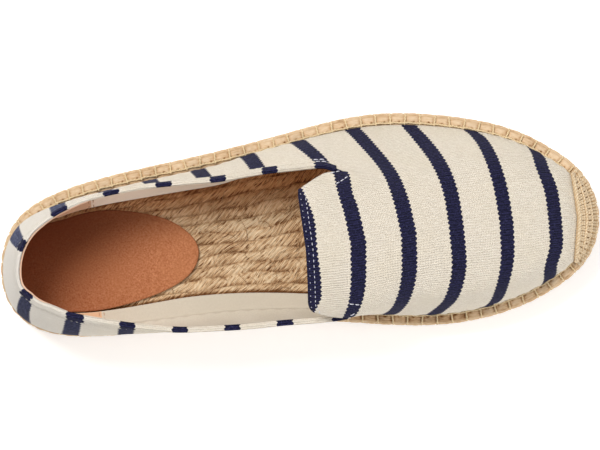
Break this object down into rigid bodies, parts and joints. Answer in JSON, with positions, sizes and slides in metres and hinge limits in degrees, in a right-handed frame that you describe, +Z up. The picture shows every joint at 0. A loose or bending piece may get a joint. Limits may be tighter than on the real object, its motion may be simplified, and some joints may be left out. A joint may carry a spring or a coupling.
{
  "type": "smoking slipper",
  "caption": "Left espadrille-style smoking slipper with a striped canvas upper, notched throat and tab, bound collar, sewn toe guard, rope sole and rubber outsole.",
  "frame": {"origin": "middle of the shoe's box, on the floor it stands on", "axes": "+X from heel to toe, +Y towards the outer side of this left shoe, +Z up"},
  "size_m": [0.2549, 0.0918, 0.078],
  "materials": {
    "outsole_rubber": "matt moulded rubber",
    "jute_rope": "braided jute rope",
    "striped_canvas": "off-white canvas with navy stripes",
    "canvas_tape": "folded canvas tape",
    "jute_thread": "thick waxed jute thread",
    "sock_suede": "brushed suede"
  },
  "bodies": {
    "root": {"outsole": "outsole_rubber", "rope_sole": "jute_rope", "upper": "striped_canvas", "collar_binding": "canvas_tape", "toe_guard": "jute_thread", "heel_sock": "sock_suede"}
  },
  "joints": []
}
